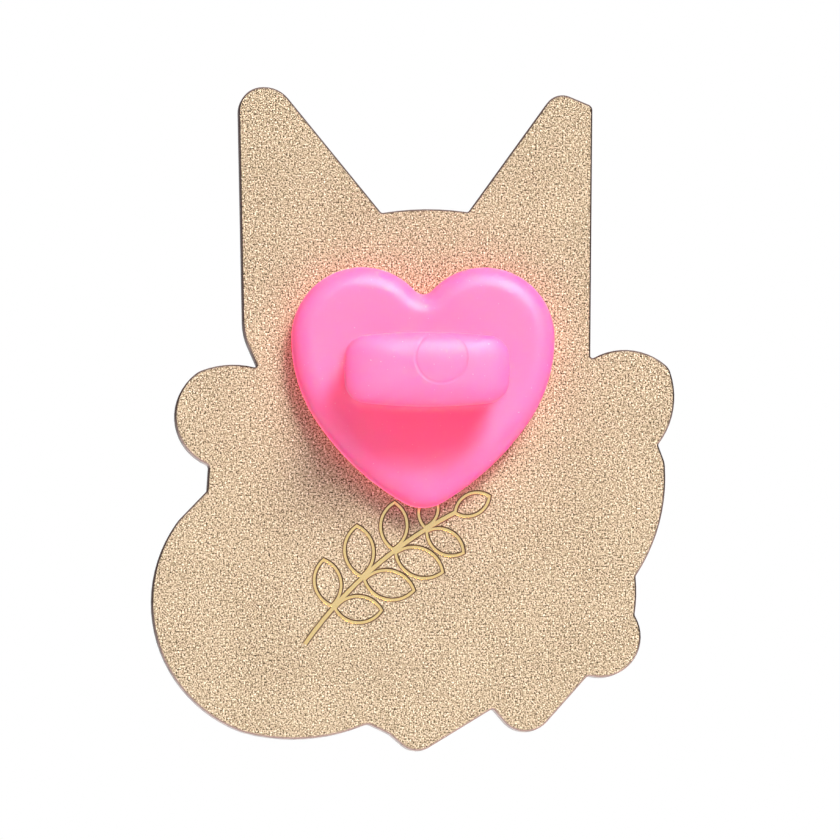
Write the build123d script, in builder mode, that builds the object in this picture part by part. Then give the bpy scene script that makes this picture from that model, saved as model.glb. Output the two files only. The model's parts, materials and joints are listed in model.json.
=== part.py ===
"""A hard-enamel lapel pin with a heart-shaped rubber clutch, in millimetres.

The pin stands upright as it is worn. +Z is up, the enamelled front faces +Y, and the back, with the
post and the clutch, faces -Y. The origin is on the post's axis, at the plate's back face.
Left and right in the names are -X and +X, which is how they lie when the back is looked at.
"""

import os

from build123d import *

os.makedirs("parts", exist_ok=True)

# ---- driving dimensions ------------------------------------------------------------------------
PLATE_T = 1.8  # die-struck plate, front to back
EDGE_R = 0.16  # tumbled edge of the plate, back and front
RIM_W = 0.5  # raised metal rim round the enamel
LINE_W = 0.28  # raised metal line between two enamel cells
CELL_DEPTH = 0.5  # depth of the enamel cells
SMALLEST_CELL = 0.2  # in mm2: a smaller pocket is left as solid metal
ENGRAVE_DEPTH = 0.16  # depth of the sprig struck into the back
SPRIG_LINE = 0.24  # width of the leaves' struck lines, at the plate's back
STEM_LINE = 0.3  # width of the stem's
WALL_LEAN = 0.06  # how far the struck lines' walls lean in, from top to bottom

PAD_R = 1.6  # round foot of the post
PAD_T = 0.35
SPIGOT_R = 0.5  # locating spigot under the foot
SPIGOT_L = 0.3
SHANK_R = 0.75  # stout root of the post, where it passes the cloth
SHANK_END = 1.4  # distance of the shank's end from the plate
NEEDLE_R = 0.55  # the needle proper
NOTCH_R = 0.42  # grip notch near the point
NOTCH_START = 4.3
NOTCH_END = 4.8
CONE_START = 5.0  # where the needle starts to taper
POST_L = 6.0  # plate to point
POINT_R = 0.08  # blunted point
SOLDER_R = 2.05  # foot of the solder fillet
SOLDER_H = 0.3

CLUTCH_GAP = 0.05  # seated clutch to plate
HEART_T = 2.0  # thickness of the heart-shaped flange
HEART_EDGE_TOP = 0.85  # rounding of the flange's outer edge
HEART_EDGE_FOOT = 0.35
LOBE_R = 3.35  # radius of the heart's lobes
LOBE_X = 2.92  # lobe centres, each side of the middle
LOBE_Z = 1.7
NOTCH_FILLET = 0.6  # rounding of the notch between the lobes
GRIP_L = 7.66  # finger grip, along X
GRIP_H = 3.42  # along Z
GRIP_CORNER = 0.95
GRIP_BOW = 0.16  # bulge of the grip's long sides
WAIST_L = 7.0  # the grip is narrower at its waist
WAIST_H = 2.8
WAIST_AT = 3.3  # distance of the waist from the plate
FLARE_AT = 4.9  # where the grip has its full size
CLUTCH_H = 6.6  # plate to the top of the grip
GRIP_EDGE = 0.6  # rounding round the grip's top
BORE_R = NEEDLE_R + 0.03  # blind bore that grips the needle
BORE_END = POST_L + 0.15
RECESS_R = 2.35  # hollow under the clutch that clears the post's foot
RECESS_DEPTH = 1.55

BACK = Plane.XZ  # looks along -Y, out of the back
FRONT = Plane.XZ.offset(-PLATE_T)  # extruding from it goes into the plate


def save(part, name):
    part.label = name
    export_step(part, f"parts/{name}.step")


# ---- outline of the plate ----------------------------------------------------------------------
# The corners, clockwise from the left ear: x, z, the radius that rounds the corner, and, where the
# side to the next corner isn't straight, a point that its arc passes through.
CORNERS = [
    (-8.81, 13.73, 1.15),  # left ear
    (-6.86, 13.73, 1.45),
    (-1.95, 7.71, 0.15, (0.1, 7.9)),  # crown of the head
    (2.2, 7.76, 0.15),
    (6.4, 13.58, 0.9),  # right ear
    (8.15, 12.85, 0.3),
    (8.04, 0.7, 0.12, (10.0, 1.17)),  # right paw
    (11.8, 0.32, 0.8, (12.06, -1.3)),
    (11.28, -3.35, 0.15),
    (11.6, -4.2, 1.2, (11.35, -7.1)),  # right flank
    (10.2, -9.65, 0.2, (10.24, -10.5)),
    (10.15, -11.5, 0.2, (10.1, -13.65)),  # hind foot
    (7.93, -14.38, 0.25),
    (4.92, -17.78, 1.35),  # right front foot
    (3.38, -15.97, 0.15),
    (-0.35, -18.25, 1.1),  # left front foot
    (-1.55, -17.2, 0.6),
    (-2.6, -16.7, 0.4, (-5.6, -17.42)),  # tail
    (-8.6, -17.1, 3.0, (-12.8, -12.2)),
    (-11.65, -7.0, 2.0),
    (-10.28, -5.58, 0.2),
    (-10.2, -4.35, 0.2, (-11.82, -2.0)),  # left paw
    (-10.7, 0.1, 1.2, (-9.2, 0.44)),
    (-7.85, 0.27, 0.1),
    (-8.57, 1.9, 3.0),  # foot of the left ear
]

with BuildSketch() as outline:
    with BuildLine():
        for corner, following in zip(CORNERS, CORNERS[1:] + CORNERS[:1]):
            if len(corner) == 4:
                ThreePointArc(corner[:2], corner[3], following[:2])
            else:
                Line(corner[:2], following[:2])
    make_face()
    for x, z, radius, *_ in CORNERS:
        fillet(outline.vertices().sort_by_distance(Vector(x, z))[0], radius=radius)

# The enamel field lies inside the rim. Its edges are drawn afresh as plain lines and arcs.
inset = offset(outline.sketch, amount=-RIM_W, mode=Mode.PRIVATE)
with BuildSketch() as field:
    with BuildLine():
        for edge in inset.face().outer_wire().order_edges():
            if edge.geom_type == GeomType.LINE:
                Line(edge @ 0, edge @ 1)
            else:
                ThreePointArc(edge @ 0, edge @ 0.5, edge @ 1)
    make_face()


# ---- regions of the front ----------------------------------------------------------------------
# Each maker returns a function that draws its region, grown on all sides by a margin. The grown
# region is what the metal line round it keeps clear of the cells that lie under it.
def ovals(spots, long, short):
    """Equal ovals at (x, z, tilt) spots, each of four arcs that meet smoothly."""
    end_r = 0.72 * short
    side_r = (short**2 + (long - end_r) ** 2 - end_r**2) / (2 * (short - end_r))

    def draw(grow):
        x = (long - end_r) * (side_r + grow) / (side_r - end_r)
        z = (side_r - short) * (side_r + grow) / (side_r - end_r) - (side_r - short)
        with BuildSketch() as oval:
            with BuildLine():
                ThreePointArc((-x, z), (0, short + grow), (x, z))
                ThreePointArc((x, z), (long + grow, 0), (x, -z))
                ThreePointArc((x, -z), (0, -short - grow), (-x, -z))
                ThreePointArc((-x, -z), (-long - grow, 0), (-x, z))
            make_face()
        with BuildSketch() as region:
            for spot_x, spot_z, tilt in spots:
                with Locations(Location((spot_x, spot_z, 0), (0, 0, tilt))):
                    add(oval.sketch)
        return region.sketch

    return draw


def disc(centre, radius):
    def draw(grow):
        with BuildSketch() as region:
            with Locations(centre):
                Circle(radius + grow)
        return region.sketch

    return draw


def rounded_polygon(points, radius):
    def draw(grow):
        with BuildSketch() as region:
            with BuildLine():
                Polyline(*points, close=True)
            make_face()
            fillet(region.vertices(), radius=radius)
            if grow:
                offset(amount=grow, mode=Mode.REPLACE)
        return region.sketch

    return draw


def paw_pads(centre, scale):
    """A palm pad with three toe pads in an arch above it."""
    palm = ovals([(centre[0], centre[1] - 0.45 * scale, 0)], 0.98 * scale, 0.68 * scale)

    def draw(grow):
        with BuildSketch() as region:
            add(palm(grow))
            for dx, dz in ((-1, 0.72), (0, 1.1), (1, 0.72)):
                with Locations((centre[0] + dx * scale, centre[1] + dz * scale)):
                    Circle(0.36 * scale + grow)
        return region.sketch

    return draw


def head(grow):
    """A round chin, and everything above its middle, which takes in the ears."""
    with BuildSketch() as region:
        with Locations(HEAD):
            Circle(HEAD_R + grow)
            Rectangle(2 * (HEAD_R + grow), HEAD_R, align=(Align.CENTER, Align.MIN))
    return region.sketch


def line_work(runs):
    """Raised metal lines with no cell of their own, each an arc through three points."""
    with BuildSketch() as region:
        for run in runs:
            with BuildLine():
                ThreePointArc(*run)
            trace(line_width=LINE_W)
    return region.sketch


HEAD_X = -0.35  # middle of the head
HEAD, HEAD_R = (HEAD_X, 5.0), 10.0
EYE_X, EYE_Z = 3.1, 1.5
BLUSH_X, BLUSH_Z, BLUSH_R = 5.75, -0.9, 0.95
PAW_LEFT, PAW_LEFT_R = (-9.5, -2.05), 2.65
PAW_RIGHT, PAW_RIGHT_R = (9.45, -1.6), 2.95
FOOT_LEFT, FOOT_LEFT_R = (-0.35, -16.0), 2.15
FOOT_RIGHT, FOOT_RIGHT_R = (4.75, -15.3), 1.95
HIND_FOOT, HIND_FOOT_R = (8.95, -12.5), 1.95

# The regions in the order in which they lie over each other, uppermost first. A cell is what is
# left of its region between the metal lines round the cells above it.
REGIONS = {
    "eye_glint_left": disc((HEAD_X - EYE_X - 0.3, EYE_Z + 0.62), 0.42),
    "eye_glint_right": disc((HEAD_X + EYE_X - 0.3, EYE_Z + 0.62), 0.42),
    "eye_left": ovals([(HEAD_X - EYE_X, EYE_Z, 90)], 1.6, 1.2),
    "eye_right": ovals([(HEAD_X + EYE_X, EYE_Z, 90)], 1.6, 1.2),
    "nose": ovals([(HEAD_X, -0.75, 0)], 0.85, 0.58),
    "muzzle": ovals([(HEAD_X, -1.9, 0)], 2.7, 1.75),
    "blush_left": disc((HEAD_X - BLUSH_X, BLUSH_Z), BLUSH_R),
    "blush_right": disc((HEAD_X + BLUSH_X, BLUSH_Z), BLUSH_R),
    "forehead_stripes": ovals(
        [(HEAD_X, 5.7, 90), (HEAD_X - 1.6, 5.5, 104), (HEAD_X + 1.6, 5.5, 76)], 1.15, 0.42
    ),
    "inner_ear_left": rounded_polygon([(-7.6, 6.3), (-7.6, 12.0), (-3.1, 6.6)], 0.5),
    "inner_ear_right": rounded_polygon([(6.95, 6.3), (6.95, 11.8), (2.6, 6.6)], 0.5),
    "paw_pads_left": paw_pads(PAW_LEFT, 0.85),
    "paw_pads_right": paw_pads(PAW_RIGHT, 1.0),
    "paw_left": disc(PAW_LEFT, PAW_LEFT_R),
    "paw_right": disc(PAW_RIGHT, PAW_RIGHT_R),
    "face": head,
    "collar_bell": disc((HEAD_X, -6.35), 1.15),
    "collar": disc(HEAD, HEAD_R + 1.3),
    "tail_tip": disc((-4.7, -8.9), 2.5),
    "tail_stripes": ovals([(-11.4, -11.9, 8), (-10.1, -14.9, 42), (-6.9, -16.1, 88)], 1.35, 0.5),
    "foot_left": disc(FOOT_LEFT, FOOT_LEFT_R),
    "tail": disc((-6.85, -11.2), 6.5),
    "foot_right": disc(FOOT_RIGHT, FOOT_RIGHT_R),
    "hind_foot": disc(HIND_FOOT, HIND_FOOT_R),
    "chest_bib": ovals([(1.6, -10.1, 90)], 3.2, 2.7),
}
WHISKERS = [
    [(HEAD_X + s * x0, z0), (HEAD_X + s * (x0 + x1) / 2, (z0 + z1) / 2 + 0.12), (HEAD_X + s * x1, z1)]
    for s in (-1, 1)
    for x0, z0, x1, z1 in ((3.5, -2.4, 5.9, -2.25), (3.1, -3.2, 5.3, -3.7))
]
MOUTH = [
    [(HEAD_X, -1.2), (HEAD_X - 0.02, -1.6), (HEAD_X, -2.0)],
    [(HEAD_X, -2.0), (HEAD_X - 0.6, -2.45), (HEAD_X - 1.15, -2.05)],
    [(HEAD_X, -2.0), (HEAD_X + 0.6, -2.45), (HEAD_X + 1.15, -2.05)],
]
LINE_WORK = {
    "face": line_work(WHISKERS),
    "muzzle": line_work(MOUTH),
    "torso": line_work([[(10.9, -6.3), (7.3, -7.9), (6.4, -11.6)]]),
    "tail": line_work(
        [[(-10.4, -6.9), (-9.3, -9.6), (-7.0, -11.9)], [(-7.0, -11.9), (-3.9, -12.5), (-1.7, -10.2)]]
    ),
    "foot_left": line_work([[(x, -17.6), (x - 0.05, -17.0), (x, -16.4)] for x in (-0.95, 0.25)]),
    "foot_right": line_work([[(x, -16.9), (x - 0.05, -16.3), (x, -15.7)] for x in (4.1, 5.2)]),
    "hind_foot": line_work([[(10.2, z), (9.6, z + 0.05), (9.0, z)] for z in (-12.1, -13.1)]),
}


def cell_sketches():
    """Cut each region free of the metal lines round it, from the uppermost down."""
    cells = {}
    covers = []
    for name, draw in {**REGIONS, "torso": None}.items():
        with BuildSketch() as cell:
            add(field.sketch)
            if draw:
                add(draw(0), mode=Mode.INTERSECT)
            for cover in covers:
                add(cover, mode=Mode.SUBTRACT)
            if name in LINE_WORK:
                add(LINE_WORK[name], mode=Mode.SUBTRACT)
        cells[name] = [face for face in cell.faces() if face.area > SMALLEST_CELL]
        if draw:
            covers.append(draw(LINE_W))
    return cells


CELLS = cell_sketches()


# ---- enamel infills ----------------------------------------------------------------------------
for cell_name, cell_faces in CELLS.items():
    with BuildPart() as infill:
        with BuildSketch(FRONT):
            add(cell_faces)
        extrude(amount=CELL_DEPTH)
    save(infill.part, cell_name)


# ---- base plate --------------------------------------------------------------------------------
STEM = [(-5.6, -12.9), (-1.9, -8.9), (1.6, -6.6)]  # the sprig's stem: tail, bend, tip
LEAVES = [  # foot on the stem, direction in degrees, length
    (-4.3, -11.2, 100, 2.5),
    (-4.3, -11.2, -2, 2.5),
    (-2.9, -9.8, 95, 2.7),
    (-2.9, -9.8, -12, 2.7),
    (-1.4, -8.5, 88, 2.5),
    (-1.4, -8.5, -22, 2.7),
    (0.1, -7.45, 78, 1.9),
    (0.1, -7.45, -30, 2.3),
    (1.45, -6.68, 26, 2.1),
]
LEAF_FULLNESS = 0.3  # bulge of each side of a leaf, as a share of its length


def leaf(x, z, heading, length, inset=0.0):
    """A leaf between two arcs, taken in by an inset on both sides."""
    foot = Vector(x, z)
    along = Vector(1, 0).rotate(Axis.Z, heading)
    across = along.rotate(Axis.Z, 90)
    tip = foot + along * length
    middle = foot + along * length * 0.45
    bulge = across * length * LEAF_FULLNESS
    with BuildSketch() as region:
        with BuildLine():
            ThreePointArc(foot, middle + bulge, tip)
            ThreePointArc(tip, middle - bulge, foot)
        make_face()
        if inset:
            offset(amount=-inset, mode=Mode.REPLACE)
    return region.sketch


def stem(width):
    with BuildSketch() as region:
        with BuildLine():
            ThreePointArc(*STEM)
        trace(line_width=width)
    return region.sketch


def struck(top, bottom):
    """The solid between a sketch on the plate's back and one at the depth of the sprig's lines."""
    with BuildPart() as solid:
        with BuildSketch(BACK):
            add(top)
        with BuildSketch(BACK.offset(-ENGRAVE_DEPTH)):
            add(bottom)
        loft(ruled=True)
    return solid.part


def sprig():
    """The struck lines' shape: their walls lean, so that they are narrower at the bottom."""
    with BuildPart() as lines:
        add(struck(stem(STEM_LINE), stem(STEM_LINE - 2 * WALL_LEAN)))
        for foot_and_way in LEAVES:
            add(struck(leaf(*foot_and_way), leaf(*foot_and_way, inset=WALL_LEAN)))
            kept = [leaf(*foot_and_way, inset=SPRIG_LINE - lean) for lean in (0, WALL_LEAN)]
            add(struck(*kept), mode=Mode.SUBTRACT)
    return lines.part


with BuildPart() as base_plate:
    with BuildSketch(BACK):
        add(outline.sketch)
    extrude(amount=-PLATE_T)
    rims = base_plate.faces().filter_by(Axis.Y)
    chamfer(rims.edges(), length=EDGE_R / 2)
    with BuildSketch(FRONT):
        for cell_faces in CELLS.values():
            add(cell_faces)
    extrude(amount=CELL_DEPTH, mode=Mode.SUBTRACT)
    add(sprig(), mode=Mode.SUBTRACT)
    with BuildSketch(BACK):
        Circle(SPIGOT_R)
    extrude(amount=-SPIGOT_L, mode=Mode.SUBTRACT)
save(base_plate.part, "base_plate")


# ---- post and its solder -----------------------------------------------------------------------
# Half sections in the plane of X and Y, turned about the post's axis. Away from the plate is -Y.
with BuildPart() as pin_post:
    with BuildSketch(Plane.XY):
        with BuildLine():
            Polyline(
                (0, SPIGOT_L),
                (SPIGOT_R, SPIGOT_L),
                (SPIGOT_R, 0),
                (PAD_R, 0),
                (PAD_R, -PAD_T),
                (SHANK_R, -PAD_T),
                (SHANK_R, -SHANK_END),
                (NEEDLE_R, -SHANK_END),
                (NEEDLE_R, -NOTCH_START),
                (NOTCH_R, -NOTCH_START - 0.12),
                (NOTCH_R, -NOTCH_END + 0.12),
                (NEEDLE_R, -NOTCH_END),
                (NEEDLE_R, -CONE_START),
                (POINT_R, -POST_L + POINT_R),
                (0, -POST_L),
                close=True,
            )
        make_face()
    revolve(axis=Axis.Y)
save(pin_post.part, "pin_post")

with BuildPart() as solder_joint:
    with BuildSketch(Plane.XY):
        with BuildLine():
            Polyline((PAD_R, -SOLDER_H), (PAD_R, 0), (SOLDER_R, 0))
            TangentArc((SOLDER_R, 0), (PAD_R, -SOLDER_H), tangent=(-1, 0))
        make_face()
    revolve(axis=Axis.Y)
save(solder_joint.part, "solder_joint")


# ---- rubber clutch -----------------------------------------------------------------------------
def heart():
    """Round lobes, sides that straighten as they come down, and a blunt tip."""
    side = (-LOBE_X - LOBE_R, LOBE_Z)
    top = (-LOBE_X, LOBE_Z + LOBE_R)
    notch = (0, LOBE_Z + (LOBE_R**2 - LOBE_X**2) ** 0.5)
    tip = (0, -6.41)
    with BuildSketch() as region:
        with BuildLine():
            ThreePointArc(notch, top, side)
            upper = TangentArc(side, (-5.06, -2.29), tangent=(0, -1))
            lower = TangentArc(upper @ 1, (-0.9, -6.17), tangent=upper % 1)
            ThreePointArc(lower @ 1, (-0.46, -6.35), tip)
            Line(tip, notch)
        make_face()
        mirror(about=Plane.YZ)
        dip = region.vertices().sort_by_distance(Vector(*notch))[0]
        fillet(dip, radius=NOTCH_FILLET)
    return region.sketch


def grip_section(length, height, distance):
    """A rounded bar section whose long sides bow out a little."""
    x, z = length / 2, height / 2 - GRIP_BOW
    with BuildSketch(BACK.offset(distance)) as section:
        with BuildLine():
            ThreePointArc((-x, z), (0, z + GRIP_BOW), (x, z))
            Line((x, z), (x, -z))
            ThreePointArc((x, -z), (0, -z - GRIP_BOW), (-x, -z))
            Line((-x, -z), (-x, z))
        make_face()
        fillet(section.vertices(), radius=GRIP_CORNER)
    return section.sketch.face()


GRIP_FOOT = grip_section(WAIST_L + 0.3, WAIST_H + 0.3, CLUTCH_GAP + HEART_T - 0.3)
GRIP_WAIST = grip_section(WAIST_L, WAIST_H, WAIST_AT)
GRIP_FLARE = grip_section(GRIP_L, GRIP_H, FLARE_AT)

with BuildPart() as clutch:
    with BuildSketch(BACK.offset(CLUTCH_GAP)):
        add(heart())
    extrude(amount=HEART_T)
    rings = clutch.faces().filter_by(Axis.Y).sort_by(Axis.Y)
    fillet(rings[0].edges(), radius=HEART_EDGE_TOP)
    foot_ring = clutch.faces().filter_by(Axis.Y).sort_by(Axis.Y)[-1]
    fillet(foot_ring.edges(), radius=HEART_EDGE_FOOT)
    loft([GRIP_FOOT, GRIP_WAIST, GRIP_FLARE])
    extrude(GRIP_FLARE, amount=CLUTCH_H - FLARE_AT)
    grip_top = clutch.faces().sort_by(Axis.Y)[0]
    fillet(grip_top.edges(), radius=GRIP_EDGE)
    with BuildSketch(BACK):
        Circle(RECESS_R)
    extrude(amount=CLUTCH_GAP + RECESS_DEPTH, mode=Mode.SUBTRACT)
    with BuildSketch(BACK):
        Circle(BORE_R)
    extrude(amount=BORE_END, mode=Mode.SUBTRACT)
save(clutch.part, "clutch")
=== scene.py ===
"""The looks of a hard-enamel lapel pin with a heart-shaped rubber clutch, round its CAD frame.

The frame is in metres: +Z up as worn, the enamelled front faces +Y, and the blasted back, with
the post and the clutch, faces -Y. Lengths are named in millimetres and scaled by MM.
"""

import json
import math

import bpy
import numpy as np
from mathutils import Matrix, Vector


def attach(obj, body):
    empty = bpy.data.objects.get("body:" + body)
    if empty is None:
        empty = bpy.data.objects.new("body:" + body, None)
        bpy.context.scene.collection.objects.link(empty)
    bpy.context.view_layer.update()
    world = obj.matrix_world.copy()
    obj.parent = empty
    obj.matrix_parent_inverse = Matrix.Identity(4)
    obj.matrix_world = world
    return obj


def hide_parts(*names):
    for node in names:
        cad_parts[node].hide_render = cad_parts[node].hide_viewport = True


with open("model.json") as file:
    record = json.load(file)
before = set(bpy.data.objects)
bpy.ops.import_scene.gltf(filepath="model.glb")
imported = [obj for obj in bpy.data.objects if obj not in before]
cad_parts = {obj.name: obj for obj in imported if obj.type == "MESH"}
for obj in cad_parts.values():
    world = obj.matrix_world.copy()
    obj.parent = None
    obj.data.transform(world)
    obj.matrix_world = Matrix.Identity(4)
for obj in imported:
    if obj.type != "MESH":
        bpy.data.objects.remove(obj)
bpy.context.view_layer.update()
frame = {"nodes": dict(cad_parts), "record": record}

MM = 0.001


# ---- shader maths --------------------------------------------------------------------------
class Wire:
    """One output socket of a shader tree. Python's operators on it add the Math nodes they mean."""

    def __init__(self, tree, socket):
        self.tree = tree
        self.socket = socket

    def node(self, kind, settings, inputs):
        """Any other node in the same tree."""
        return add_node(self.tree, kind, settings, inputs)

    def math(self, operation, *values):
        return self.node("Math", {"operation": operation}, dict(enumerate(values)))

    def __add__(self, other):
        return self.math("ADD", self, other)

    def __radd__(self, other):
        return self.math("ADD", other, self)

    def __sub__(self, other):
        return self.math("SUBTRACT", self, other)

    def __rsub__(self, other):
        return self.math("SUBTRACT", other, self)

    def __mul__(self, other):
        return self.math("MULTIPLY", self, other)

    def __rmul__(self, other):
        return self.math("MULTIPLY", other, self)

    def root(self):
        """The square root."""
        return self.math("SQRT", self)

    def clamped(self):
        """Held between 0 and 1."""
        return self.node("Clamp", {}, {"Value": self})

    def step(self, low, high):
        """0 below low, 1 above high, and a smooth step between them."""
        settings = {"interpolation_type": "SMOOTHSTEP"}
        return self.node("MapRange", settings, {"Value": self, "From Min": low, "From Max": high})

    def colours(self, *stops):
        """A colour ramp over this value, from (place, colour) stops."""
        return self.node("ValToRGB", {"stops": stops}, {"Fac": self})


def add_node(tree, kind, settings, inputs, output=0):
    """A shader node: its settings first, then a value or a link for each named or numbered
    input. It hands over one output, named or numbered, or nothing where that is None."""
    made = tree.nodes.new("ShaderNode" + kind)
    for name, value in settings.items():
        if name == "stops":
            ramp = made.color_ramp.elements
            while len(ramp) < len(value):
                ramp.new(0.5)
            for element, (place, colour) in zip(ramp, value):
                element.position = place
                element.color = (*colour, 1.0)
        else:
            setattr(made, name, value)
    for name, value in inputs.items():
        if isinstance(value, Wire):
            tree.links.new(value.socket, made.inputs[name])
        else:
            made.inputs[name].default_value = value
    return None if output is None else Wire(tree, made.outputs[output])


class Finish:
    """A material under construction, with its pattern space on Object coordinates."""

    def __init__(self, name):
        self.material = bpy.data.materials.new(name)
        self.material.use_nodes = True
        self.tree = self.material.node_tree
        self.surface = self.tree.nodes["Principled BSDF"]
        self.place = self.node("TexCoord", {}, {}, "Object")
        self.x, self.y, self.z = (
            self.node("SeparateXYZ", {}, {0: self.place}, axis) for axis in "XYZ"
        )

    def node(self, kind, settings, inputs, output=0):
        """Any node in this material's tree."""
        return add_node(self.tree, kind, settings, inputs, output)

    def noise(self, grain, detail=2.0, roughness=0.5, stretch=(1, 1, 1)):
        """Noise whose grains are about `grain` metres across, times the stretch on each axis."""
        size = tuple(1 / (grain * s) for s in stretch)
        where = self.node("Mapping", {}, {"Vector": self.place, "Scale": size})
        inputs = {"Vector": where, "Scale": 1.0, "Detail": detail, "Roughness": roughness}
        return self.node("TexNoise", {}, inputs)

    def mix(self, share, first, second):
        """Colours blended from the first to the second by a share."""
        a, b = (c if isinstance(c, Wire) else (*c, 1.0) for c in (first, second))
        # Sockets 6 and 7 and output 2 of a Mix node are its colours, after numbers and vectors.
        return self.node("Mix", {"data_type": "RGBA"}, {0: share, 6: a, 7: b}, 2)

    def blend(self, share, first, second):
        """Numbers blended from the first to the second by a share."""
        return first + share * (second - first)

    def bump(self, height, depth, under=None):
        """A surface whose relief is `depth` metres for a height of 1, over another relief."""
        inputs = {"Height": height, "Distance": depth, "Strength": 1.0}
        if under:
            inputs["Normal"] = under
        return self.node("Bump", {}, inputs)

    def done(self, **sockets):
        """Set the surface's sockets, named with _ for a space, and hand the material over."""
        for name, value in sockets.items():
            socket = self.surface.inputs[name.replace("_", " ")]
            if isinstance(value, Wire):
                self.tree.links.new(value.socket, socket)
            else:
                socket.default_value = value
        return self.material


# ---- finishes ------------------------------------------------------------------------------
CHAMPAGNE = (0.80, 0.62, 0.42)
WORN_CHAMPAGNE = (0.72, 0.56, 0.36)
BRIGHT_TIP = (0.90, 0.78, 0.58)
YELLOW_GOLD = (0.94, 0.72, 0.34)
# Painted shade for the sprig's leaning walls: a dark brown, laid where the walls are also made less
# metallic.
PAINTED_WALL_SHADE = (0.11, 0.045, 0.025)
# Painted shade on the plate's side walls: a darker, duller colour standing in for the dark
# surroundings they reflect.
PAINTED_SIDE_SHADE, SIDE_END = (0.36, 0.25, 0.22), 1.6 * MM  # the plate's side walls, short of its front

GRAIN = 0.075 * MM  # pits left by the blasting
BLAST_DEPTH = 0.045 * MM
SKIN = 0.015 * MM  # how far below the back's plane the blasted skin reaches
STRUCK_DEPTH = 0.16 * MM  # of the sprig
SPRIG_X, SPRIG_Z, SPRIG_REACH = -1.4 * MM, -9.2 * MM, 6.0 * MM  # a circle that holds the sprig


def plated_plate():
    """Champagne gold plating: blasted on the back's plane, polished elsewhere, with a darker,
    duller painted shade on the plate's side walls. The blasted grain's colour paints shade into its
    pits and glints on its tops, over its own uneven tone. Inside a circle of SPRIG_REACH, going in
    from the back, the sprig's leaning walls carry a painted shade of dark brown, and their floors
    are a yellower gold."""
    f = Finish("plated_metal")
    polished = f.y.step(0.3 * SKIN, SKIN)
    # side: the plate's side walls, where that painted shade goes.
    side = polished * (1 - f.y.step(SIDE_END, 1.05 * SIDE_END))
    x, z = f.x - SPRIG_X, f.z - SPRIG_Z
    near_sprig = 1 - (x * x + z * z).root().step(SPRIG_REACH, 1.05 * SPRIG_REACH)
    struck = f.y.step(0.90 * STRUCK_DEPTH, 0.98 * STRUCK_DEPTH)
    # wall: the sprig's leaning walls, which get the painted shade, a lower metallic and a higher
    # roughness.
    wall = near_sprig * polished * (1 - struck)
    floor = near_sprig * struck
    pits = f.noise(GRAIN, detail=3.0, roughness=0.62)
    flecks = f.noise(1.7 * GRAIN, detail=2.0, roughness=0.7)
    patches = f.noise(3 * MM, detail=2.0)
    # The grain's ramp paints shade into the pits, down to near black, and glints on the tops, up to
    # pale cream, over the grain's own uneven tone.
    blasted = (0.72 * pits + 0.28 * flecks + 0.03 * (patches - 0.5)).colours(
        (0.37, (0.013, 0.008, 0.005)),
        (0.44, (0.15, 0.110, 0.068)),
        (0.50, (0.37, 0.290, 0.200)),
        (0.58, (0.59, 0.485, 0.365)),
        (0.68, (1.0, 0.95, 0.83)),
    )
    # The plating carries two painted shades: the dark colour on the side walls and the dark brown
    # on the sprig's walls.
    plating = f.mix(wall, f.mix(floor, f.mix(side, CHAMPAGNE, PAINTED_SIDE_SHADE), YELLOW_GOLD), PAINTED_WALL_SHADE)
    scratches = f.noise(0.02 * MM, detail=2.0, stretch=(1, 40, 1))
    smears = f.noise(1.2 * MM, detail=3.0)
    shine = 0.14 + 0.08 * smears + 0.06 * scratches
    dents = f.bump(f.noise(0.9 * MM, detail=1.0), 0.004 * MM)
    return f.done(
        Base_Color=f.mix(polished, blasted, plating),
        Metallic=1 - 0.9 * wall,
        Roughness=f.blend(polished, 0.48 + 0.20 * flecks, shine + 0.4 * wall),
        Normal=f.bump((1 - polished) * pits, BLAST_DEPTH, dents),
    )


def turned_post():
    """Polished post with fine turning marks round its axis, worn brighter towards the point."""
    f = Finish("plated_post")
    marks = f.noise(0.03 * MM, detail=2.0, stretch=(60, 1, 60))
    stains = f.noise(0.8 * MM, detail=3.0)
    tip = (-1 * f.y).step(3.5 * MM, 6.0 * MM)
    colour = f.mix(stains.step(0.35, 0.7), CHAMPAGNE, WORN_CHAMPAGNE)
    return f.done(
        Base_Color=f.mix(tip, colour, BRIGHT_TIP),
        Metallic=1.0,
        Roughness=0.16 + 0.14 * marks + 0.08 * stains,
        Normal=f.bump(marks, 0.006 * MM),
    )


DARK_SOLDER, PALE_SOLDER = (0.50, 0.49, 0.47), (0.74, 0.72, 0.68)
FLUX_BROWN, FLUX_FROM, FLUX_TO = (0.42, 0.28, 0.14), 1.75 * MM, 2.05 * MM


def solder():
    """Dull silver solder, mottled and slightly pitted, with a brown flux stain at its rim."""
    f = Finish("solder")
    lumps = f.noise(0.45 * MM, detail=4.0, roughness=0.6)
    radius = (f.x * f.x + f.z * f.z).root()
    stain = radius.step(FLUX_FROM, FLUX_TO) * lumps.step(0.4, 0.6)
    colour = f.mix(lumps.step(0.3, 0.7), DARK_SOLDER, PALE_SOLDER)
    return f.done(
        Base_Color=f.mix(stain, colour, FLUX_BROWN),
        Metallic=0.9,
        Roughness=0.30 + 0.25 * lumps,
        Normal=f.bump(lumps, 0.03 * MM),
    )


RUBBER_PINK = (1.0, 0.13, 0.33)
RUBBER_DUST = (1.0, 0.75, 0.85)
# Painted shade in the witness ring's groove.
PAINTED_GROOVE_SHADE = (0.9, 0.10, 0.25)
# A painted red glow on the flange's foot, given as emission, rising from GLOW_TOP to full at
# GLOW_FULL.
PAINTED_FOOT_GLOW, GLOW_TOP, GLOW_FULL = (1.0, 0.06, 0.16), -1.6 * MM, -0.4 * MM
WITNESS_X, WITNESS_Z, WITNESS_R = 0.62 * MM, 0.52 * MM, 1.22 * MM  # ring left by an ejector pin
WITNESS_HALF_WIDTH, WITNESS_DEPTH = 0.09 * MM, 0.018 * MM


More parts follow.
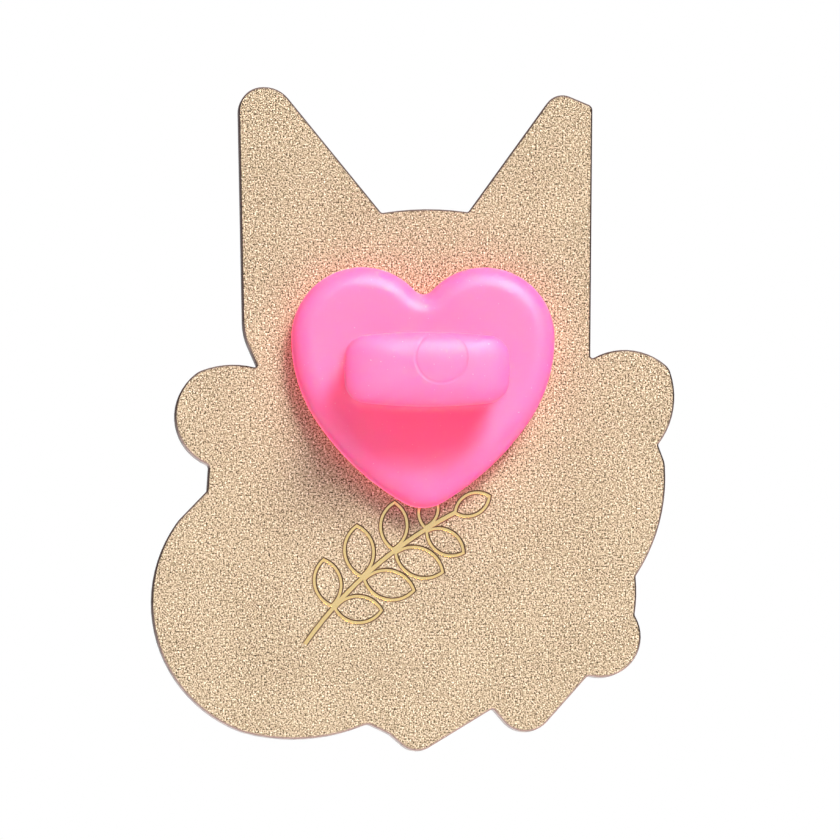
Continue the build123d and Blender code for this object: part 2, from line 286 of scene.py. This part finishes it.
def clutch_rubber():
    """Soft translucent rubber: light carries far under the skin, red furthest and green least.
    A painted red glow, given as emission, lies on the flange's foot in place of light that has
    travelled right through the flange. The mould left a fine satin grain and, on the grip's top, a
    faint round witness line. Its groove is 1 - d squared across, where d is the distance from the
    ring in half widths, and is painted slightly darker as painted shade."""
    f = Finish("pink_rubber")
    skin = f.noise(0.05 * MM, detail=2.0)
    dust = f.noise(0.12 * MM, detail=1.0).step(0.74, 0.80)
    x, z = f.x - WITNESS_X, f.z - WITNESS_Z
    d = ((x * x + z * z).root() - WITNESS_R) * (1 / WITNESS_HALF_WIDTH)
    groove = (1 - d * d).clamped() * (-1 * f.y).step(5.6 * MM, 6.0 * MM)
    colour = f.mix(dust * 0.3, RUBBER_PINK, RUBBER_DUST)
    return f.done(
        # The witness groove is painted slightly darker: a painted shade.
        Base_Color=f.mix(groove * 0.09, colour, PAINTED_GROOVE_SHADE),
        # Painted glow: the flange's foot shines red though it is no lamp.
        Emission_Color=f.mix(f.y.step(GLOW_TOP, GLOW_FULL), (0, 0, 0), PAINTED_FOOT_GLOW),
        Emission_Strength=1.8,
        Subsurface_Weight=1.0,
        Subsurface_Radius=(1.0, 0.12, 0.70),
        Subsurface_Scale=1.9 * MM,
        Specular_IOR_Level=0.7,
        Roughness=0.44 + 0.12 * skin,
        Normal=f.bump(skin * 0.1 - groove, WITNESS_DEPTH),
    )


def enamel(name, colour):
    """Baked enamel, ground flush and polished: a deep even colour with a faint mottle where the
    pigment settled, tiny pinholes painted at half the colour as the shade in them, and a surface
    that is flat but for the grinding's waves."""
    f = Finish(name)
    mottle = f.noise(0.7 * MM, detail=3.0)
    pinholes = f.noise(0.10 * MM, detail=0.0).step(0.82, 0.86)
    waves = f.noise(1.6 * MM, detail=1.0)
    hair = f.noise(0.015 * MM, detail=1.0, stretch=(30, 1, 1))
    settled = tuple(0.95 * c for c in colour)
    # Painted shade in the pinholes, which have no relief of their own: half the colour.
    pinhole_shade = tuple(0.5 * c for c in colour)
    deep = f.mix(mottle.step(0.3, 0.75), colour, settled)
    return f.done(
        Base_Color=f.mix(pinholes * 0.6, deep, pinhole_shade),
        Roughness=0.08 + 0.05 * mottle + 0.04 * hair,
        Coat_Weight=0.6,
        Coat_Roughness=0.05,
        Normal=f.bump(waves, 0.010 * MM),
    )


# ---- shapes worked out as arrays -----------------------------------------------------------
AROUND = 400  # points round each ring of the clutch
ARC_POINTS = 200  # points on each arc of an outline, before it is spaced evenly


def tangent_arcs(corners, heading):
    """Dense points on arcs that run smoothly into each other through the corners. An arc that
    leaves its start at one heading, with its chord at a lean from it, turns by twice the lean,
    so its radius is half the chord over the sine of the lean."""
    share = np.linspace(0, 1, ARC_POINTS, endpoint=False)
    runs = []
    for start, end in zip(corners[:-1], corners[1:]):
        dx, dz = np.subtract(end, start)
        lean = (math.atan2(dz, dx) - heading + math.pi) % (2 * math.pi) - math.pi
        radius = math.hypot(dx, dz) / (2 * math.sin(lean))
        turned = heading + 2 * lean * share
        x = start[0] + radius * (np.sin(turned) - math.sin(heading))
        z = start[1] - radius * (np.cos(turned) - math.cos(heading))
        runs.append(np.stack([x, z], axis=1))
        heading += 2 * lean
    return np.vstack([*runs, [corners[-1]]])


def mirrored_ring(half):
    """A closed ring from its left half, bottom to top, evenly spaced and anticlockwise from the
    bottom: the right half is the left one mirrored in x."""
    right = half * (-1, 1)
    closed = np.vstack([right, half[::-1][1:]])
    gone = np.concatenate([[0], np.cumsum(np.hypot(*np.diff(closed, axis=0).T))])
    even = np.linspace(0, gone[-1], AROUND, endpoint=False)
    return np.stack([np.interp(even, gone, closed[:, i]) for i in (0, 1)], axis=1)


def grown(ring, margin):
    """Each point moved out along the ring's normal, or in where the margin is negative."""
    along = np.roll(ring, -1, axis=0) - np.roll(ring, 1, axis=0)
    normal = np.stack([along[:, 1], -along[:, 0]], axis=1) / np.hypot(*along.T)[:, None]
    return ring + margin * normal


def bearing(ring):
    """The angle round the post's axis of each point, anticlockwise from straight down."""
    return np.unwrap(np.arctan2(ring[:, 0], -ring[:, 1]))


def circle(radius):
    """A circle whose points lie at the bearings of the heart's brow."""
    return radius * np.stack([np.sin(BEARINGS), -np.cos(BEARINGS)], axis=1)


def level(ring, y):
    """The ring as points in space at one distance along the post's axis."""
    return np.stack([ring[:, 0], np.broadcast_to(y, len(ring)), ring[:, 1]], axis=1)


def quarter(count):
    """Cosine and sine of angles over a quarter turn."""
    turn = np.linspace(0, math.pi / 2, count)
    return np.stack([np.cos(turn), np.sin(turn)], axis=1)


def closed_mesh(name, rings, material):
    """A mesh skinned over a stack of rings, in millimetres, with its first and last ring closed
    by a fan to their middles. Ring k's point i is vertex k * AROUND + i."""
    stack = np.array(rings) * MM
    count = len(stack)
    points = np.vstack([stack.reshape(-1, 3), stack[0].mean(axis=0), stack[-1].mean(axis=0)])
    here = np.arange(AROUND)
    after = np.roll(here, -1)
    k = np.arange(count - 1)[:, None] * AROUND
    walls = np.stack([k + here, k + after, k + AROUND + after, k + AROUND + here], axis=2)
    first, last = count * AROUND, count * AROUND + 1
    start_cap = np.stack([after, here, np.full(AROUND, first)], axis=1)
    rim = (count - 1) * AROUND
    end_cap = np.stack([rim + here, rim + after, np.full(AROUND, last)], axis=1)
    faces = [*walls.reshape(-1, 4).tolist(), *start_cap.tolist(), *end_cap.tolist()]
    mesh = bpy.data.meshes.new(name)
    mesh.from_pydata(points.tolist(), [], faces)
    mesh.polygons.foreach_set("use_smooth", np.ones(len(mesh.polygons), bool))
    mesh.materials.append(material)
    piece = bpy.data.objects.new(name, mesh)
    bpy.context.scene.collection.objects.link(piece)
    return piece


# ---- rubber clutch -------------------------------------------------------------------------
# In millimetres, with distances from the plate counted outwards. The outlines' corners run up
# the left half, from the heart's tip or the grip's lower side to the middle of the top.
HEART_HALF = [
    (0, -6.41), (-0.9, -6.17), (-5.06, -2.29), (-6.27, 1.7), (-2.92, 5.05), (-0.44, 3.96), (0, 3.76)
]
UNDERSIDE, FLANGE_TOP = 0.05, 2.05
FOOT_ROUND, RIM_ROUND_IN, RIM_ROUND_UP = 0.35, 1.05, 0.85

GRIP_HALF_L, GRIP_HALF_H, GRIP_CORNER, GRIP_BOW = 3.90, 1.76, 0.95, 0.16
GRIP_FOOT_ROUND, WAIST_SHRINK = 0.55, 0.33
GRIP_SHOULDER, CLUTCH_TOP = 5.75, 6.6

BORE_R, BORE_END = 0.58, 6.15
BORE_END_BEVEL = 0.02
BORE_MOUTH_ROUND = 0.12
RECESS_R, RECESS_TOP = 2.35, 1.6
RECESS_ROUND = 0.1  # of the recess's inner corner and of its mouth

HEART = mirrored_ring(tangent_arcs(HEART_HALF, math.pi))
BROW = grown(HEART, -RIM_ROUND_IN)  # where the flange's rounded rim meets its flat top
BEARINGS = bearing(BROW)


def bar_ring(margin):
    """A rounded bar whose sides bow out, grown all round by a margin, with its points at the
    bearings of the heart's brow, so that the rings between the two don't twist."""
    flat_x, flat_z = GRIP_HALF_L - GRIP_CORNER, GRIP_HALF_H - GRIP_BOW
    half = [
        (0, -GRIP_HALF_H),
        (-flat_x, -flat_z),
        (-GRIP_HALF_L, -flat_z + GRIP_CORNER),
        (-GRIP_HALF_L, flat_z - GRIP_CORNER),
        (-flat_x, flat_z),
        (0, GRIP_HALF_H),
    ]
    ring = grown(mirrored_ring(tangent_arcs(half, math.pi)), margin)
    at = bearing(ring)
    sides = [np.interp(BEARINGS, at, ring[:, i], period=2 * math.pi) for i in (0, 1)]
    return np.stack(sides, axis=1)


def hollow_rings():
    """The clutch's inside, from the end of its blind bore to the recess's mouth: each flat or
    wall is a run of circles, and each rounded corner between two is a quarter turn."""
    rings = [level(circle(share * BORE_R), -BORE_END) for share in (0.2, 0.6, 0.97)]

    mouth = -RECESS_TOP - BORE_MOUTH_ROUND
    rings += [level(circle(BORE_R), y) for y in np.linspace(-BORE_END + BORE_END_BEVEL, mouth, 8)]
    for c, s in quarter(5)[::-1]:
        radius = BORE_R + BORE_MOUTH_ROUND * (1 - s)
        rings.append(level(circle(radius), -RECESS_TOP - BORE_MOUTH_ROUND * (1 - c)))

    ceiling = np.linspace(BORE_R + 0.2, RECESS_R - 0.15, 6)  # radii clear of the corners
    rings += [level(circle(radius), -RECESS_TOP) for radius in ceiling]
    for c, s in quarter(5):
        radius = RECESS_R - RECESS_ROUND * (1 - s)
        rings.append(level(circle(radius), -RECESS_TOP + RECESS_ROUND * (1 - c)))

    wall = np.linspace(-RECESS_TOP + 0.25, -UNDERSIDE - 0.12, 4)  # distances clear of them too
    rings += [level(circle(RECESS_R), y) for y in wall]
    for c, s in quarter(5):
        radius = RECESS_R + RECESS_ROUND * (1 - c)
        rings.append(level(circle(radius), -UNDERSIDE - RECESS_ROUND * (1 - s)))
    return rings


def flange_rings():
    """The heart's flange, from the flat underside round its rim to the grip's foot. Its foot is
    a quarter circle, its rim a quarter ellipse, and its flat parts are blends of two rings."""
    inner = circle(RECESS_R + 0.12)  # just outside the recess's mouth
    sole = grown(HEART, -FOOT_ROUND)
    rings = [level(inner + (sole - inner) * t, -UNDERSIDE) for t in np.linspace(0, 1, 6)[:-1]]
    for c, s in quarter(7):
        outline = grown(HEART, -FOOT_ROUND * (1 - s))
        rings.append(level(outline, -UNDERSIDE - FOOT_ROUND * (1 - c)))

    rim_foot = FLANGE_TOP - RIM_ROUND_UP
    side = np.linspace(-UNDERSIDE - FOOT_ROUND, -rim_foot, 5)[1:-1]
    rings += [level(HEART, y) for y in side]
    for c, s in quarter(22):
        outline = grown(HEART, -RIM_ROUND_IN * (1 - c))
        rings.append(level(outline, -rim_foot - RIM_ROUND_UP * s))

    root = bar_ring(GRIP_FOOT_ROUND - WAIST_SHRINK)
    top = np.linspace(0, 1, 16)[1:-1]
    rings += [level(BROW + (root - BROW) * t, -FLANGE_TOP) for t in top]
    return rings


def grip_rings():
    """The finger grip: a concave quarter-circle root, a waist that flares to the full bar as half
    a cosine wave over the first 0.8 of its height, and a top that falls off as the root of
    1 - s cubed, where s is the share of the way out to the bar's outline."""
    rings = []
    for c, s in quarter(9):
        outline = bar_ring(GRIP_FOOT_ROUND * (1 - s) - WAIST_SHRINK)
        rings.append(level(outline, -FLANGE_TOP - GRIP_FOOT_ROUND * (1 - c)))

    foot = FLANGE_TOP + GRIP_FOOT_ROUND
    for t in np.linspace(0, 1, 16)[1:]:
        waist = WAIST_SHRINK * (1 + math.cos(math.pi * min(1.0, 1.25 * t))) / 2
        rings.append(level(bar_ring(-waist), -foot - (GRIP_SHOULDER - foot) * t))

    bar = bar_ring(0)
    for s in np.sin(np.linspace(math.pi / 2, 0.03, 34))[1:]:
        dome = (CLUTCH_TOP - GRIP_SHOULDER) * (1 - s**3) ** 0.5
        rings.append(level(bar * s, -GRIP_SHOULDER - dome))
    return rings


clutch_skin = hollow_rings() + flange_rings() + grip_rings()
rubber = closed_mesh("rubber_clutch", clutch_skin, clutch_rubber())
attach(rubber, "clutch")
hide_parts("clutch")


# ---- finishes on the CAD nodes -------------------------------------------------------------
ENAMEL_COLOURS = {
    "enamel_fur": (0.93, 0.56, 0.30),
    "enamel_cream": (0.96, 0.88, 0.74),
    "enamel_stripe": (0.58, 0.22, 0.08),
    "enamel_rose": (0.93, 0.34, 0.42),
    "enamel_dark": (0.018, 0.012, 0.014),
    "enamel_white": (0.93, 0.93, 0.93),
    "enamel_teal": (0.03, 0.36, 0.38),
    "enamel_yellow": (0.95, 0.62, 0.08),
}
FINISHES = {name: enamel(name, colour) for name, colour in ENAMEL_COLOURS.items()}
FINISHES |= {"plated_metal": plated_plate(), "plated_post": turned_post(), "solder": solder()}

for part in frame["record"]["subparts"]:
    if part["material_slot"] in FINISHES:
        slots = frame["nodes"][part["node"]].data.materials
        slots.clear()
        slots.append(FINISHES[part["material_slot"]])


# ---- floor, light and camera ---------------------------------------------------------------
VIEW_WIDTH = 40.14 * MM  # across the whole view, at the plate's back
VIEW_CENTRE = np.array([-0.11, 0.0, -2.19]) * MM
DISTANCE = 0.9
TURN, RISE = math.radians(-2.4), math.radians(-2.4)  # a little from the left and from below
SENSOR = 36.0

FLOOR_SIZE, FLOOR_DROP = 3.0, 12 * MM
PALE_FLOOR, PALER_FLOOR = (0.86, 0.86, 0.86), (0.90, 0.90, 0.90)


def aim(thing, target):
    """Turn a light or a camera, which look along their own -Z, at a point."""
    thing.rotation_euler = (Vector(target) - thing.location).to_track_quat("-Z", "Y").to_euler()


def make_camera():
    """A camera with a long lens, facing the plate's back nearly square on."""
    data = bpy.data.cameras.new("camera")
    data.sensor_width = SENSOR
    data.lens = SENSOR * DISTANCE / VIEW_WIDTH
    data.clip_start, data.clip_end = 0.01, 10.0
    camera = bpy.data.objects.new("camera", data)
    away = np.array(
        [math.sin(TURN) * math.cos(RISE), -math.cos(TURN) * math.cos(RISE), math.sin(RISE)]
    )
    camera.location = VIEW_CENTRE + DISTANCE * away
    aim(camera, VIEW_CENTRE)
    bpy.context.scene.collection.objects.link(camera)
    bpy.context.scene.camera = camera
    return camera


def softbox(name, place, size, power, spread, colour=(1, 1, 1)):
    """A round softbox aimed at the pin. Its grid keeps its light within a spread, in degrees."""
    data = bpy.data.lights.new(name, "AREA")
    data.shape = "DISK"
    data.size = size
    data.energy = power
    data.spread = math.radians(spread)
    data.color = colour
    light = bpy.data.objects.new(name, data)
    light.location = place
    aim(light, (0, 0, 0))
    bpy.context.scene.collection.objects.link(light)


def make_floor(height):
    """A plain pale floor with a faint dusty unevenness."""
    f = Finish("studio_floor")
    dust = f.noise(6 * MM, detail=3.0)
    colour = f.mix(dust, PALE_FLOOR, PALER_FLOOR)
    bpy.ops.mesh.primitive_plane_add(size=FLOOR_SIZE, location=(0, 0, height))
    floor = bpy.context.object
    floor.name = "floor"
    floor.data.materials.append(f.done(Base_Color=colour, Roughness=0.6 + 0.1 * dust))


def make_world():
    """A pale studio: 0.20 all round, 0.20 more over the clutch's side, 0.40 more straight out
    from the plate's back, and 0.50 more overhead. Seen directly, it is plain white."""
    world = bpy.data.worlds.new("studio")
    bpy.context.scene.world = world
    world.use_nodes = True
    tree = world.node_tree
    tree.nodes.clear()
    way = add_node(tree, "TexCoord", {}, {})
    y, up = (add_node(tree, "SeparateXYZ", {}, {0: way}, axis) for axis in "YZ")
    out = -1 * y
    light = 0.20 + 0.20 * out.step(-0.2, 0.9) + 0.40 * out.step(0.80, 0.97)
    light += 0.50 * up.step(0.3, 1.0)
    glow = add_node(tree, "Background", {}, {"Color": (1.0, 0.98, 1.02, 1), "Strength": light})
    seen = add_node(tree, "Background", {}, {"Color": (1, 1, 1, 1), "Strength": 1.0})
    direct = add_node(tree, "LightPath", {}, {})
    both = add_node(tree, "MixShader", {}, {0: direct, 1: glow, 2: seen})
    add_node(tree, "OutputWorld", {}, {"Surface": both}, None)


camera = make_camera()
make_world()
make_floor(camera.location.z - FLOOR_DROP)
softbox("key", (0.13, -0.33, 0.26), size=0.28, power=0.35, spread=30, colour=(1.0, 0.98, 0.92))
softbox("low", (-0.29, -0.10, -0.17), size=0.14, power=0.15, spread=40)
softbox("front_light", (0.2, 0.4, 0.3), size=0.25, power=0.8, spread=180)
bpy.context.scene.view_settings.view_transform = "Standard"
